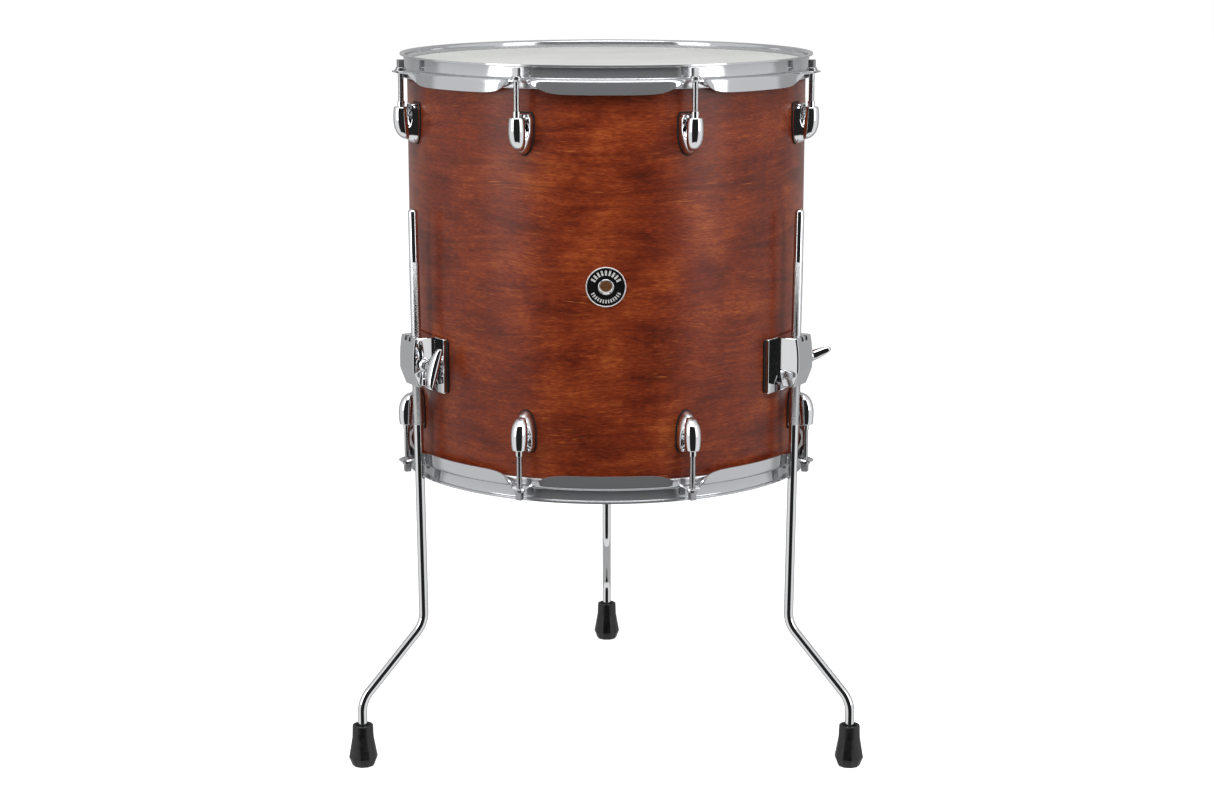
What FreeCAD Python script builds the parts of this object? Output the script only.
import FreeCAD, Part
import math
import os

# Floor tom drum, 16 in across and 16 in deep, on three adjustable legs.
# Millimetres. The drum's axis is +Z through the origin and the floor is z = 0.
# Azimuth 0 is the front (-Y) and +90 is the right side (+X).
# A local frame, used for everything fixed to the shell's side, has x outwards,
# y along the shell towards a higher azimuth, and z up.

Vector = FreeCAD.Vector
ORIGIN = Vector(0, 0, 0)
UP = Vector(0, 0, 1)
OUT = Vector(1, 0, 0)
ALONG = Vector(0, 1, 0)

# ---- driving dimensions: shell and heads ----
SHELL_R = 202.0
SHELL_WALL = 7.0
SHELL_TOP = 703.0
MID_Z = 500.6
BEARING_R = 200.0
BEARING_FLAT = 0.8
FILM = 0.3
COLLAR_GAP = 1.2

# ---- driving dimensions: hoops (pressed steel with three flanges) ----
SHEET = 1.6
RIM_Z = 710.7
WALL_R = 203.8
LIP_R = 209.2
STEP_Z = 697.4
SKIRT_TOP_R = 210.4
SKIRT_R = 211.0
SKIRT_Z = 683.3
BEND_R = 1.0
SHOULDER_R = 3.1
EDGE_R = 0.5

# ---- driving dimensions: ears that the tension rods pull on ----
EAR_TIP_R = 226.7
EAR_TIP_HALF = 4.7
EAR_ROOT_HALF = 16.0
EAR_BACK_R = 205.0
EAR_ROOT_R = 210.0
EAR_ROOT_ROUND = 6.0
EAR_TIP_ROUND = 3.0
EAR_HOLE_R = 3.3
SCALLOP_HALF = 38.0
SCALLOP_KNEE_HALF = 24.0
SCALLOP_KNEE_RISE = 0.4
SCALLOP_KNEE_R = 20.0
SCALLOP_TOP_HALF = 11.4
SCALLOP_TOP_R = 6.0
SCALLOP_TOP = 694.0

# ---- driving dimensions: flesh hoops ----
FLESH_IN = 203.1
FLESH_OUT = 208.3
FLESH_DEPTH = 7.8

# ---- driving dimensions: lugs and tension rods ----
LUG_COUNT = 8
FIRST_LUG = 22.5
ROD_AXIS_R = 218.5
GASKET = 1.3
LUG_TOP = 666.0
LUG_LOW = 625.5
LUG_HALF = 10.5
POD_TOP = 662.0
POD_LOW = 631.0
POD_R = 8.0
POD_ROUND = 7.0
POD_EDGE = 0.8
LUG_CORNER = 1.5
LUG_PLATE = 3.2
ROUND_END = 0.96
NECK_STEP = 0.4
WEB_HALF = 4.0
HOLLOW_OUT = 213.0
HOLLOW_LOW = 640.0
BOTTOM_LUG_LIFT = 3.0
INSERT_R = 3.6
INSERT_TOP = 667.5
INSERT_LOW = 640.0
ROD_R = 2.75
RUNNING = 0.05
ROD_LOW = 644.0
WASHER_R = 5.8
WASHER = 1.2
AXIAL_PLAY = 0.3
COLLAR_R = 4.9
COLLAR = 1.7
COLLAR_ROUND = 0.6
KEY_SQUARE = 6.2
KEY_EDGE = 0.5
KEY_CHAMFER = 0.4
KEY_TOP = 708.2

# ---- driving dimensions: screws from inside the shell ----
SCREW_R = 2.0
SCREW_HOLE_R = 2.2
SCREW_HEAD_R = 4.6
SCREW_HEAD = 2.6
SCREW_HEAD_ROUND = 1.2
SCREW_BITE = 4.0
LUG_SCREWS_Z = (636.0, 655.0)

# ---- driving dimensions: badge and vent ----
BADGE_Z = 501.5
BADGE_R = 19.3
BADGE = 1.1
BADGE_RIM = 1.5
BADGE_RIM_RISE = 0.6
VENT_R = 6.05
VENT_BARREL_R = 6.7
VENT_FLANGE_R = 7.65
VENT_NUT_R = 9.5
VENT_FLANGE = 0.9

# ---- driving dimensions: legs ----
LEGS = {"left": -60.0, "right": 60.0, "rear": 180.0}
WING_REST = {"left": 106.0, "right": 25.0, "rear": 70.0}
LEG_R = 4.75
KNURL_R = 4.95
LEG_TOP = (219.5, 564.0)
LEG_KNEE = (214.5, 139.5)
LEG_ANKLE = (285.0, 68.0)
LEG_END_Z = 10.0
LEG_BEND = 28.0
LEG_END_ROUND = 3.0
KNURL_SPAN = (347.0, 512.0)

# ---- driving dimensions: rubber feet ----
FOOT_TOP_Z = 43.0
FOOT_TOP_R = 10.4
FOOT_NECK_Z = 30.0
FOOT_NECK_R = 10.9
FOOT_WIDE_Z = 9.0
FOOT_WIDE_R = 14.6
FOOT_SOLE_R = 11.0

# ---- driving dimensions: leg brackets and wing screws ----
BRACKET_Z = (382.5, 437.7)
BRACKET_GASKET = 1.6
BRACKET_GASKET_HALF = 35.0
BRACKET_PLATE_HALF = 33.0
BRACKET_PLATE = 3.0
BRACKET_HALF = 16.6
BRACKET_ROOT_HALF = 18.0
BRACKET_FACE = 229.0
BRACKET_FACE_TOP = 226.5
BRACKET_FACE_LOW = 223.5
BRACKET_BACK_X = 203.0
BRACKET_SCREW_END = 211.0
BRACKET_CORNER = 2.0
CLAMP_Z = 411.0
BOSS_R = 7.5
BOSS_END = 22.0
WING_SHANK_R = 3.0
WING_TIP_GAP = 0.25
WING_HUB_R = 5.6
WING_HUB = (25.0, 41.0)
WING_BLADE = (29.0, 46.0)
WING_HALF = 20.2
WING_THICK_CORNER = 7.2
WING_THIN = 1.6
WING_LENS_R = 55.0
WING_TIP_ROUND = 1.4
WING_EDGE = 2.5
WING_EDGE_ROUND = 0.8
WING_NEAR_HALF = 6.5
WING_NEAR_ROUND = 3.0
WING_FAR_HALF = 9.0
WING_FAR_ROUND = 12.0
WING_HUB_ROUND = 1.5
BLOCK_BEND = 9.0
BLOCK_BEND_R = 12.0
BLOCK_LOW_ROUND = 3.0
BRACKET_SCREW_Y = 10.0
BRACKET_SCREWS_Z = (392.0, 429.0)

# ---- dimensions that follow ----
FILM_TOP = SHELL_TOP + FILM
SHELL_LOW = 2 * MID_Z - SHELL_TOP
STEP_LOW = STEP_Z - SHEET
LEG_SLOPE = (LEG_TOP[0] - LEG_KNEE[0]) / (LEG_TOP[1] - LEG_KNEE[1])
CLAMP_R = LEG_KNEE[0] + LEG_SLOPE * (CLAMP_Z - LEG_KNEE[1])
LUG_AZIMUTHS = [FIRST_LUG + 360.0 / LUG_COUNT * i for i in range(LUG_COUNT)]
TINY = 1e-6


# ---- small helpers ----
def turn(shape, azimuth):
    """Swing a shape from its local frame to its azimuth on the drum."""
    return shape.rotated(ORIGIN, UP, azimuth - 90.0)


def flip(shape):
    """Mirror a shape from the top half of the drum to the bottom half."""
    return shape.mirror(Vector(0, 0, MID_Z), UP)


def group(shapes):
    """Join separate solids into one node."""
    return Part.makeCompound(shapes)


def in_xz(u, v):
    return Vector(u, 0, v)


def outline(corners, place):
    """Face inside a closed outline of (u, v, corner radius), put in space by place."""
    points = [place(u, v) for u, v, _ in corners]
    bends = []
    for i, (_, _, radius) in enumerate(corners):
        corner = points[i]
        back = (points[i - 1] - corner).normalize()
        ahead = (points[(i + 1) % len(points)] - corner).normalize()
        half = back.getAngle(ahead) / 2
        reach = radius / math.tan(half)
        inwards = (back + ahead).normalize()
        middle = corner + inwards * (radius / math.sin(half) - radius)
        bends.append((corner + back * reach, middle, corner + ahead * reach, radius))
    edges = []
    for i, (start, middle, end, radius) in enumerate(bends):
        if radius > 0:
            edges.append(Part.Arc(start, middle, end).toShape())
        following = bends[(i + 1) % len(bends)][0]
        if (following - end).Length > TINY:
            edges.append(Part.makeLine(end, following))
    return Part.Face(Part.Wire(edges))


def ring(profile):
    """Turn a profile of (radius, z, corner radius) about the drum's axis."""
    return outline(profile, in_xz).revolve(ORIGIN, UP, 360)


def rod(radius, start, end):
    """Round bar between two points."""
    reach = end - start
    return Part.makeCylinder(radius, reach.Length, start, reach)


def slab(corners, place, direction):
    """Extrude an outline."""
    return outline(corners, place).extrude(direction)


def shell_drum(radius):
    """Solid drum of the given radius, to cut the hollow back of what sits on the shell."""
    return Part.makeCylinder(radius, RIM_Z)


def pad(half, low, high, corner, thickness):
    """Flat gasket bent round the shell."""
    box = [(-half, low, corner), (half, low, corner), (half, high, corner), (-half, high, corner)]
    block = slab(box, lambda u, v: Vector(SHELL_R - half, u, v), OUT * (2 * half))
    block = block.cut(shell_drum(SHELL_R))
    return block.common(shell_drum(SHELL_R + thickness))


# ---- shell, badge and vent ----
def make_shell():
    """Bent plywood tube with a bearing edge at each end and its drilled holes."""
    inner = SHELL_R - SHELL_WALL
    flat_in = BEARING_R - BEARING_FLAT / 2
    flat_out = BEARING_R + BEARING_FLAT / 2
    outer_cut = SHELL_R - flat_out
    inner_cut = flat_in - inner
    profile = [
        (inner, SHELL_LOW + inner_cut, 0),
        (flat_in, SHELL_LOW, 0),
        (flat_out, SHELL_LOW, 0),
        (SHELL_R, SHELL_LOW + outer_cut, 0),
        (SHELL_R, SHELL_TOP - outer_cut, 0),
        (flat_out, SHELL_TOP, 0),
        (flat_in, SHELL_TOP, 0),
        (inner, SHELL_TOP - inner_cut, 0),
    ]
    holes = [turn(vent_bar(VENT_BARREL_R, inner - 1, SHELL_R + 1), 0)]
    for azimuth in LUG_AZIMUTHS:
        for side in (lambda s: s, lower_lug):
            holes += [turn(side(hole), azimuth) for hole in lug_screw_bars(SCREW_HOLE_R, inner - 1)]
    for azimuth in LEGS.values():
        holes += [turn(hole, azimuth) for hole in bracket_screw_bars(SCREW_HOLE_R, inner - 1)]
    return ring(profile).cut(holes)


def vent_bar(radius, start, end):
    """Round bar along the vent's axis."""
    return rod(radius, Vector(start, 0, BADGE_Z), Vector(end, 0, BADGE_Z))


def make_badge():
    """Round metal badge with a raised rim, bent round the shell and pierced by the vent."""
    disc = vent_bar(BADGE_R, SHELL_R - BADGE_R, SHELL_R + BADGE_R)
    field = vent_bar(BADGE_R - BADGE_RIM, SHELL_R - BADGE_R, SHELL_R + BADGE_R)
    plate = disc.cut(shell_drum(SHELL_R)).common(shell_drum(SHELL_R + BADGE))
    rim = disc.cut(field).cut(shell_drum(SHELL_R)).common(shell_drum(SHELL_R + BADGE + BADGE_RIM_RISE))
    return turn(plate.fuse(rim).cut(vent_bar(VENT_BARREL_R, 0, SHELL_R + BADGE_R)).removeSplitter(), 0)


def make_grommet():
    """Flared tube that clamps the badge and vents the shell."""
    inner = SHELL_R - SHELL_WALL
    face = SHELL_R + BADGE
    barrel = vent_bar(VENT_BARREL_R, inner - VENT_FLANGE, face + VENT_FLANGE)
    front = vent_bar(VENT_FLANGE_R, face, face + VENT_FLANGE)
    back = vent_bar(VENT_NUT_R, inner - 2 * VENT_FLANGE, inner).common(shell_drum(inner))
    bore = vent_bar(VENT_R, 0, face + 2 * VENT_FLANGE)
    return turn(barrel.fuse([front, back]).cut(bore).removeSplitter(), 0)


# ---- heads and hoops (top versions; flip makes the bottom ones) ----
def make_film():
    """Drum skin with its collar, bent over the bearing edge and down to the flesh hoop."""
    edge = BEARING_R + 0.75 * BEARING_FLAT
    collar_in = SHELL_R + COLLAR_GAP
    collar_z = SHELL_TOP - (collar_in - edge)
    profile = [
        (0, SHELL_TOP, 0),
        (edge, SHELL_TOP, 0),
        (collar_in, collar_z, 1.0),
        (collar_in, STEP_LOW, 0),
        (collar_in + FILM, STEP_LOW, 0),
        (collar_in + FILM, collar_z, 1.0 + FILM),
        (edge, FILM_TOP, FILM),
        (0, FILM_TOP, 0),
    ]
    return ring(profile)


def make_flesh_hoop():
    """Aluminium channel, filled with resin, that grips the skin's edge."""
    low = STEP_LOW - FLESH_DEPTH
    profile = [
        (FLESH_IN, low, 1.5),
        (FLESH_OUT, low, 1.5),
        (FLESH_OUT, STEP_LOW, 1.5),
        (FLESH_IN, STEP_LOW, 0.0),
    ]
    return ring(profile)


def scallop():
    """Volume under one ear, where the skirt is cut away and turned up."""
    low = SKIRT_Z - 1
    knee = low + SCALLOP_KNEE_RISE * (SCALLOP_TOP - low)
    corners = [
        (-SCALLOP_HALF, low, 0),
        (-SCALLOP_KNEE_HALF, knee, SCALLOP_KNEE_R),
        (-SCALLOP_TOP_HALF, SCALLOP_TOP, SCALLOP_TOP_R),
        (SCALLOP_TOP_HALF, SCALLOP_TOP, SCALLOP_TOP_R),
        (SCALLOP_KNEE_HALF, knee, SCALLOP_KNEE_R),
        (SCALLOP_HALF, low, 0),
    ]
    return slab(corners, lambda u, v: Vector(SHELL_R, u, v), OUT * EAR_ROOT_HALF)


def ear():
    """Flat tab at the hoop's step with a hole for a tension rod."""
    corners = [
        (EAR_BACK_R, -EAR_ROOT_HALF, 0),
        (EAR_ROOT_R, -EAR_ROOT_HALF, EAR_ROOT_ROUND),
        (EAR_TIP_R, -EAR_TIP_HALF, EAR_TIP_ROUND),
        (EAR_TIP_R, EAR_TIP_HALF, EAR_TIP_ROUND),
        (EAR_ROOT_R, EAR_ROOT_HALF, EAR_ROOT_ROUND),
        (EAR_BACK_R, EAR_ROOT_HALF, 0),
    ]
    return slab(corners, lambda u, v: Vector(u, v, STEP_LOW), UP * SHEET)


def make_hoop():
    """Triple-flanged hoop: turned-out lip, wall, step and skirt, with eight ears."""
    profile = [
        (WALL_R, RIM_Z, BEND_R + SHEET),
        (LIP_R, RIM_Z, EDGE_R),
        (LIP_R, RIM_Z - SHEET, EDGE_R),
        (WALL_R + SHEET, RIM_Z - SHEET, BEND_R),
        (WALL_R + SHEET, STEP_Z, BEND_R),
        (SKIRT_TOP_R, STEP_Z, SHOULDER_R),
        (SKIRT_R, SKIRT_Z, EDGE_R),
        (SKIRT_R - SHEET, SKIRT_Z, EDGE_R),
        (SKIRT_TOP_R - SHEET, STEP_LOW, SHOULDER_R - SHEET),
        (WALL_R, STEP_LOW, BEND_R + SHEET),
    ]
    hoop = ring(profile)
    hoop = hoop.cut([turn(scallop(), azimuth) for azimuth in LUG_AZIMUTHS])
    hoop = hoop.fuse([turn(ear(), azimuth) for azimuth in LUG_AZIMUTHS])
    clear = shell_drum(WALL_R)
    holes = [turn(rod(EAR_HOLE_R, rod_point(STEP_LOW - 1), rod_point(STEP_Z + 1)), azimuth)
             for azimuth in LUG_AZIMUTHS]
    return hoop.cut([clear] + holes).removeSplitter()


# ---- lugs and tension rods (top versions, in the local frame) ----
def rod_point(z):
    return Vector(ROD_AXIS_R, 0, z)


def lower_lug(shape):
    """Mirror a lug piece to the bottom half, at the bottom lugs' own height."""
    lowered = flip(shape)
    lowered.translate(UP * BOTTOM_LUG_LIFT)
    return lowered


def lug_outline(x, half, low, high):
    """Lug section at a distance from the drum's axis: flat top and round bottom."""
    corners = [
        (-half, high, LUG_CORNER),
        (half, high, LUG_CORNER),
        (half, low, ROUND_END * half),
        (-half, low, ROUND_END * half),
    ]
    return outline(corners, lambda u, v: Vector(x, u, v))


def lug_screw_bars(radius, start):
    """Round bars along the lug's two screws, from inside the shell into the lug."""
    end = SHELL_R + GASKET + SCREW_BITE
    return [rod(radius, Vector(start, 0, z), Vector(end, 0, z)) for z in LUG_SCREWS_Z]


def make_lug():
    """Cast lug: a plate on the gasket, a bullet-shaped pod, and a neck between them."""
    seat = SHELL_R + GASKET
    plate_face = seat + LUG_PLATE
    plate = lug_outline(SHELL_R - 2, LUG_HALF, LUG_LOW, LUG_TOP).extrude(OUT * (plate_face - SHELL_R + 2))
    wires = [
        lug_outline(plate_face, LUG_HALF - NECK_STEP, LUG_LOW + NECK_STEP, LUG_TOP - NECK_STEP).OuterWire,
        lug_outline(ROD_AXIS_R, POD_R - NECK_STEP, POD_LOW + 1, POD_TOP).OuterWire,
    ]
    neck = Part.makeLoft(wires, True, True)
    pod = ring([(0, POD_LOW, 0), (POD_R, POD_LOW, POD_ROUND), (POD_R, POD_TOP, POD_EDGE), (0, POD_TOP, 0)])
    pod.translate(OUT * ROD_AXIS_R)
    hollow = [
        (plate_face + NECK_STEP, LUG_TOP + 1, 0),
        (HOLLOW_OUT, LUG_TOP + 1, 0),
        (plate_face + 1, HOLLOW_LOW, EDGE_R),
    ]
    near = slab(hollow, lambda u, v: Vector(u, WEB_HALF, v), ALONG * LUG_HALF)
    far = slab(hollow, lambda u, v: Vector(u, -WEB_HALF, v), ALONG * -LUG_HALF)
    socket = rod(INSERT_R, rod_point(INSERT_LOW), rod_point(LUG_TOP + 1))
    body = plate.fuse([neck, pod])
    return body.cut([shell_drum(seat), near, far, socket] + lug_screw_bars(SCREW_R, seat - 1))


def make_insert():
    """Swivel nut that stands out of the lug and takes the rod's thread."""
    outside = rod(INSERT_R, rod_point(INSERT_LOW), rod_point(INSERT_TOP))
    return outside.cut(rod(ROD_R + RUNNING, rod_point(INSERT_LOW + 2), rod_point(INSERT_TOP + 1)))


def make_lug_gasket():
    """Rubber pad between a lug and the shell."""
    gasket = pad(LUG_HALF + 1, LUG_LOW - 1, LUG_TOP + 1, 3, GASKET)
    return gasket.cut(lug_screw_bars(SCREW_R, SHELL_R - 1))


def make_tension_rod():
    """Threaded rod with a collar and a square head for the drum key."""
    seat = STEP_Z + WASHER + AXIAL_PLAY
    shank = rod(ROD_R, rod_point(ROD_LOW), rod_point(seat))
    collar = rod(COLLAR_R, rod_point(seat), rod_point(seat + COLLAR))
    collar = collar.makeFillet(COLLAR_ROUND, [edge for edge in collar.Edges if edge.BoundBox.ZMin > seat + 1])
    half = KEY_SQUARE / 2
    corners = [(u * half, v * half, KEY_EDGE) for u, v in ((-1, -1), (1, -1), (1, 1), (-1, 1))]
    key = slab(corners, lambda u, v: Vector(ROD_AXIS_R + u, v, seat + COLLAR), UP * (KEY_TOP - seat - COLLAR))
    key = key.makeChamfer(KEY_CHAMFER, [edge for edge in key.Edges if edge.BoundBox.ZMin > KEY_TOP - 0.1])
    return shank.fuse([collar, key]).removeSplitter()


def make_rod_washer():
    """Steel washer between the rod's collar and the ear."""
    outside = rod(WASHER_R, rod_point(STEP_Z), rod_point(STEP_Z + WASHER))
    return outside.cut(rod(ROD_R + AXIAL_PLAY, rod_point(STEP_Z - 1), rod_point(STEP_Z + WASHER + 1)))


def screws(bars):
    """Add a pan head inside the shell to each bar."""
    inner = SHELL_R - SHELL_WALL
    heads = []
    for bar in bars:
        centre = bar.CenterOfMass
        inside = math.sqrt(inner ** 2 - (abs(centre.y) + SCREW_HEAD_R) ** 2)
        outside = inside - SCREW_HEAD
        head = rod(SCREW_HEAD_R, Vector(outside, centre.y, centre.z), Vector(inside, centre.y, centre.z))
        rim = [edge for edge in head.Edges if edge.BoundBox.XMax < outside + 0.1]
        head = head.makeFillet(SCREW_HEAD_ROUND, rim)
        heads.append(bar.fuse(head).removeSplitter())
    return heads


# ---- leg brackets and wing screws (local frame) ----
def clamp_point(y):
    return Vector(CLAMP_R, y, CLAMP_Z)


def bracket_screw_bars(radius, start):
    """Round bars along the bracket's four screws."""
    end = BRACKET_SCREW_END
    bars = []
    for y in (-BRACKET_SCREW_Y, BRACKET_SCREW_Y):
        bars += [rod(radius, Vector(start, y, z), Vector(end, y, z)) for z in BRACKET_SCREWS_Z]
    return bars


def leg_point(z):
    """Point on the straight part of the leg's axis."""
    return Vector(LEG_KNEE[0] + LEG_SLOPE * (z - LEG_KNEE[1]), 0, z)


def make_bracket():
    """Cast bracket: plate on the shell, block with the leg's bore, and a boss for the wing screw."""
    low, high = BRACKET_Z
    seat = SHELL_R + BRACKET_GASKET
    plate = pad(BRACKET_PLATE_HALF, low, high, 2, BRACKET_GASKET + BRACKET_PLATE)
    side = [
        (BRACKET_BACK_X, low, 0),
        (BRACKET_FACE_LOW, low, BLOCK_LOW_ROUND),
        (BRACKET_FACE, CLAMP_Z - BLOCK_BEND, BLOCK_BEND_R),
        (BRACKET_FACE, CLAMP_Z + BLOCK_BEND, BLOCK_BEND_R),
        (BRACKET_FACE_TOP, high, 2),
        (BRACKET_BACK_X, high, 0),
    ]
    plan = [
        (BRACKET_BACK_X, -BRACKET_ROOT_HALF, 0),
        (BRACKET_FACE, -BRACKET_HALF, BRACKET_CORNER),
        (BRACKET_FACE, BRACKET_HALF, BRACKET_CORNER),
        (BRACKET_BACK_X, BRACKET_ROOT_HALF, 0),
    ]
    block = slab(side, lambda u, v: Vector(u, -BRACKET_ROOT_HALF, v), ALONG * (2 * BRACKET_ROOT_HALF))
    block = block.common(slab(plan, lambda u, v: Vector(u, v, low), UP * (high - low)))
    boss = rod(BOSS_R, clamp_point(BRACKET_HALF - 2), clamp_point(BOSS_END))
    bore = rod(KNURL_R + RUNNING, leg_point(low - 5), leg_point(high + 5))
    thread = rod(WING_SHANK_R + RUNNING, clamp_point(0), clamp_point(BOSS_END + 1))
    body = plate.fuse([block, boss])
    return body.cut([shell_drum(seat), bore, thread] + bracket_screw_bars(SCREW_R, seat - 1))


def make_bracket_gasket():
    """Rubber pad between a leg bracket and the shell."""
    low, high = BRACKET_Z
    gasket = pad(BRACKET_GASKET_HALF, low + 1, high - 1, 3, BRACKET_GASKET)
    return gasket.cut(bracket_screw_bars(SCREW_R, SHELL_R - 4))


def make_wing_screw(rest_angle):
    """Clamp screw with two swept wings; rest_angle turns the wings from outwards to up."""
    blade_low, blade_high = WING_BLADE
    shank = rod(WING_SHANK_R, clamp_point(KNURL_R + WING_TIP_GAP), clamp_point(WING_HUB[0] + 1))
    hub = rod(WING_HUB_R, clamp_point(WING_HUB[0]), clamp_point(WING_HUB[1]))
    hub = hub.makeFillet(WING_HUB_ROUND, [hub.Edges[0], hub.Edges[2]])
    lens = [
        (-WING_HALF, -WING_THIN, WING_TIP_ROUND),
        (0, -WING_THICK_CORNER, WING_LENS_R),
        (WING_HALF, -WING_THIN, WING_TIP_ROUND),
        (WING_HALF, WING_THIN, WING_TIP_ROUND),
        (0, WING_THICK_CORNER, WING_LENS_R),
        (-WING_HALF, WING_THIN, WING_TIP_ROUND),
    ]
    sweep = [
        (-WING_HALF, blade_high, WING_EDGE_ROUND),
        (-WING_HALF, blade_high - WING_EDGE, WING_EDGE_ROUND),
        (-WING_NEAR_HALF, blade_low, WING_NEAR_ROUND),
        (WING_NEAR_HALF, blade_low, WING_NEAR_ROUND),
        (WING_HALF, blade_high - WING_EDGE, WING_EDGE_ROUND),
        (WING_HALF, blade_high, WING_EDGE_ROUND),
        (WING_FAR_HALF, WING_HUB[1] - WING_HUB_ROUND, WING_FAR_ROUND),
        (-WING_FAR_HALF, WING_HUB[1] - WING_HUB_ROUND, WING_FAR_ROUND),
    ]
    thick = slab(lens, lambda u, v: Vector(CLAMP_R + u, blade_low - 1, CLAMP_Z + v), ALONG * WING_HALF)
    swept = slab(sweep, lambda u, v: Vector(CLAMP_R + u, v, CLAMP_Z - WING_HALF), UP * (2 * WING_HALF))
    screw = shank.fuse([hub, thick.common(swept)])
    return screw.rotated(clamp_point(0), ALONG, -rest_angle).removeSplitter()


# ---- legs and feet (local frame) ----
def make_leg():
    """Bent steel rod with a knurled stretch where the bracket clamps it."""
    top = Vector(LEG_TOP[0], 0, LEG_TOP[1])
    knee = Vector(LEG_KNEE[0], 0, LEG_KNEE[1])
    ankle = Vector(LEG_ANKLE[0], 0, LEG_ANKLE[1])
    end = Vector(LEG_ANKLE[0], 0, LEG_END_Z)
    edges = []
    start = top
    for before, corner, after in ((top, knee, ankle), (knee, ankle, end)):
        back = (before - corner).normalize()
        ahead = (after - corner).normalize()
        half = back.getAngle(ahead) / 2
        reach = LEG_BEND / math.tan(half)
        inwards = (back + ahead).normalize()
        middle = corner + inwards * (LEG_BEND / math.sin(half) - LEG_BEND)
        edges.append(Part.makeLine(start, corner + back * reach))
        edges.append(Part.Arc(corner + back * reach, middle, corner + ahead * reach).toShape())
        start = corner + ahead * reach
    edges.append(Part.makeLine(start, end))
    section = Part.Wire(Part.makeCircle(LEG_R, top, top - knee))
    bar = Part.Wire(edges).makePipeShell([section], True, False)
    bar = bar.makeFillet(LEG_END_ROUND, [edge for edge in bar.Edges if edge.BoundBox.ZMin > LEG_TOP[1] - 1])
    return bar.fuse(rod(KNURL_R, leg_point(KNURL_SPAN[0]), leg_point(KNURL_SPAN[1]))).removeSplitter()


def make_foot():
    """Rubber foot pushed over the end of a leg."""
    profile = [
        (0, 0, 0),
        (FOOT_SOLE_R, 0, 1.0),
        (FOOT_WIDE_R, FOOT_WIDE_Z, 1.0),
        (FOOT_NECK_R, FOOT_NECK_Z, 8.0),
        (FOOT_TOP_R, FOOT_TOP_Z, 1.0),
        (LEG_R, FOOT_TOP_Z, 0),
        (LEG_R, LEG_END_Z, 0),
        (0, LEG_END_Z, 0),
    ]
    foot = ring(profile)
    foot.translate(OUT * LEG_ANKLE[0])
    return foot


# ---- write one file per node ----
def save(name, shape):
    """Write one node and print what it holds."""
    shape.exportStep("parts/" + name + ".step")
    print(name, len(shape.Solids), "solids", round(shape.Volume), "mm3, valid", shape.isValid())


def save_drum():
    """Shell, badge, vent, both heads and both hoops."""
    save("shell", make_shell())
    save("vent_badge", make_badge())
    save("vent_grommet", make_grommet())
    save("batter_head_film", make_film())
    save("resonant_head_film", flip(make_film()))
    save("batter_flesh_hoop", make_flesh_hoop())
    save("resonant_flesh_hoop", flip(make_flesh_hoop()))
    hoop = make_hoop()
    save("top_hoop", hoop)
    save("bottom_hoop", flip(hoop))


def save_tuning():
    """Lugs and tension rods one by one, and their small pieces as groups."""
    lug = make_lug()
    tension_rod = make_tension_rod()
    gasket = make_lug_gasket()
    insert = make_insert()
    washer = make_rod_washer()
    lug_screws = screws(lug_screw_bars(SCREW_R, SHELL_R - SHELL_WALL - 1))
    gaskets, inserts, washers, fixings = [], [], [], []
    for number, azimuth in enumerate(LUG_AZIMUTHS, start=1):
        save("top_lug_%d" % number, turn(lug, azimuth))
        save("bottom_lug_%d" % number, turn(lower_lug(lug), azimuth))
        save("top_tension_rod_%d" % number, turn(tension_rod, azimuth))
        save("bottom_tension_rod_%d" % number, turn(flip(tension_rod), azimuth))
        gaskets += [turn(gasket, azimuth), turn(lower_lug(gasket), azimuth)]
        inserts += [turn(insert, azimuth), turn(lower_lug(insert), azimuth)]
        washers += [turn(washer, azimuth), turn(flip(washer), azimuth)]
        fixings += [turn(screw, azimuth) for screw in lug_screws]
        fixings += [turn(lower_lug(screw), azimuth) for screw in lug_screws]
    save("lug_gaskets", group(gaskets))
    save("lug_inserts", group(inserts))
    save("rod_washers", group(washers))
    save("lug_screws", group(fixings))


def save_legs():
    """Brackets, wing screws, legs and feet one by one, and the brackets' small pieces as groups."""
    bracket = make_bracket()
    leg = make_leg()
    foot = make_foot()
    gaskets, fixings = [], []
    for side, azimuth in LEGS.items():
        save("leg_bracket_" + side, turn(bracket, azimuth))
        save("wing_screw_" + side, turn(make_wing_screw(WING_REST[side]), azimuth))
        save("leg_rod_" + side, turn(leg, azimuth))
        save("rubber_foot_" + side, turn(foot, azimuth))
        gaskets.append(turn(make_bracket_gasket(), azimuth))
        bars = bracket_screw_bars(SCREW_R, SHELL_R - SHELL_WALL - 1)
        fixings += [turn(screw, azimuth) for screw in screws(bars)]
    save("bracket_gaskets", group(gaskets))
    save("bracket_screws", group(fixings))


save_drum()
save_tuning()
save_legs()
